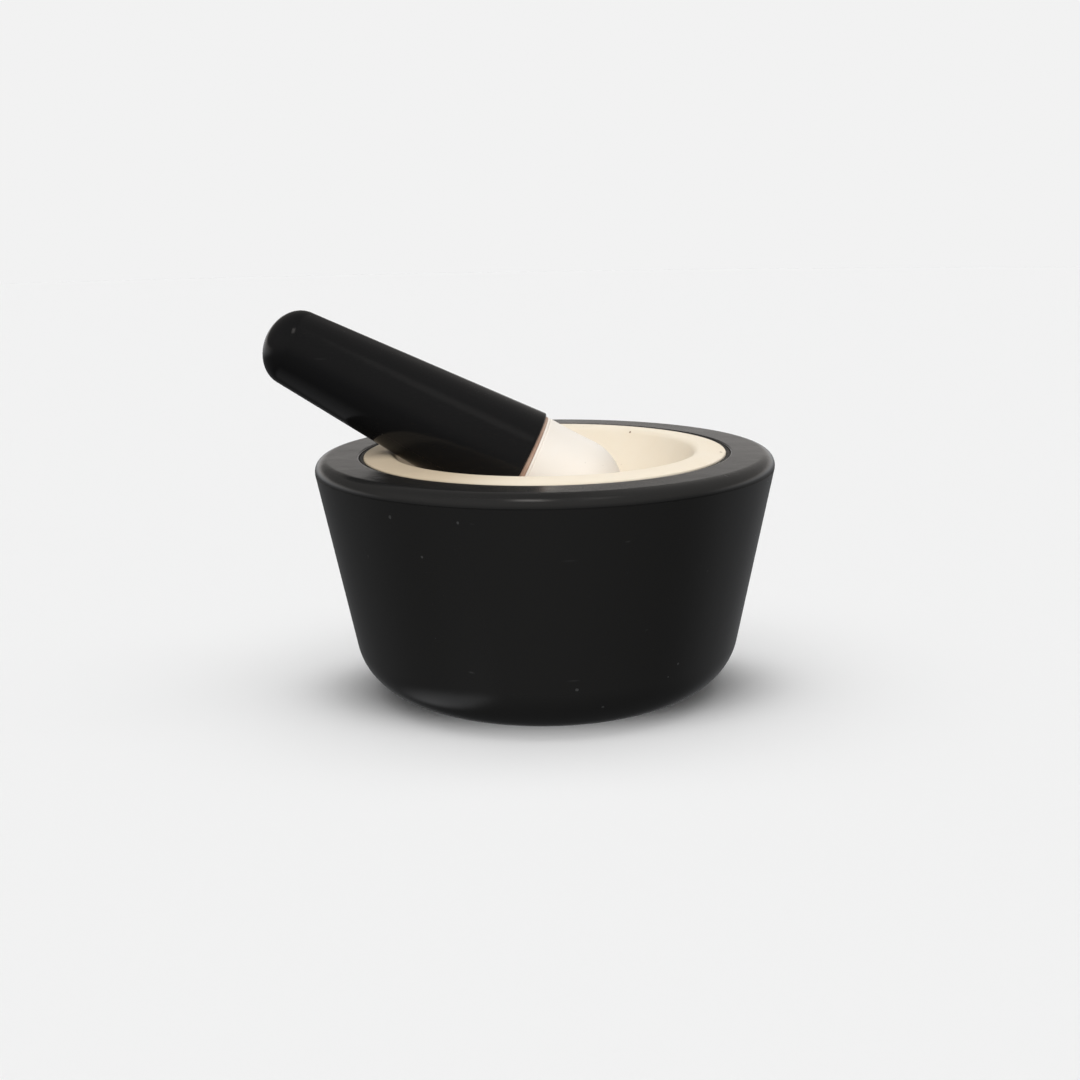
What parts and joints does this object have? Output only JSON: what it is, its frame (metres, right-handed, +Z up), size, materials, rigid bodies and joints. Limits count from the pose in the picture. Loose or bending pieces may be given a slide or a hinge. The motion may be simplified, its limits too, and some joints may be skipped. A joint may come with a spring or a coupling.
{
  "type": "mortar and pestle",
  "caption": "Round black mortar with a flat rim and a cream grinding bowl, and a tapered black-handled pestle resting in it.",
  "frame": {"origin": "centre of the mortar's footprint, on the surface it stands on", "axes": "+Z up along the mortar's axis; the pestle leans towards -X; +Y is across the pestle, away from the viewer who sees it lean to the left"},
  "size_m": [0.1655, 0.15, 0.1256],
  "materials": {
    "body_glaze": "satin",
    "handle_glaze": "gloss",
    "cream_bisque": "matte",
    "dark_sealant": "satin",
    "bedding_cement": "matte",
    "joint_cement": "matte",
    "pad_rubber": "matte",
    "stud_steel": "satin"
  },
  "bodies": {
    "mortar": {"mortar_body": "body_glaze", "foot_pad": "pad_rubber", "bowl_liner": "cream_bisque", "liner_seal": "dark_sealant", "liner_bed": "bedding_cement"},
    "pestle": {"pestle_head": "cream_bisque", "pestle_joint_ring": "joint_cement", "pestle_handle": "handle_glaze", "pestle_stud": "stud_steel"}
  },
  "joints": [
    {"name": "pestle_lift", "type": "slide", "parent": "mortar", "child": "pestle", "axis": [0, 0, 1], "range_m": [0, 0.08]}
  ]
}
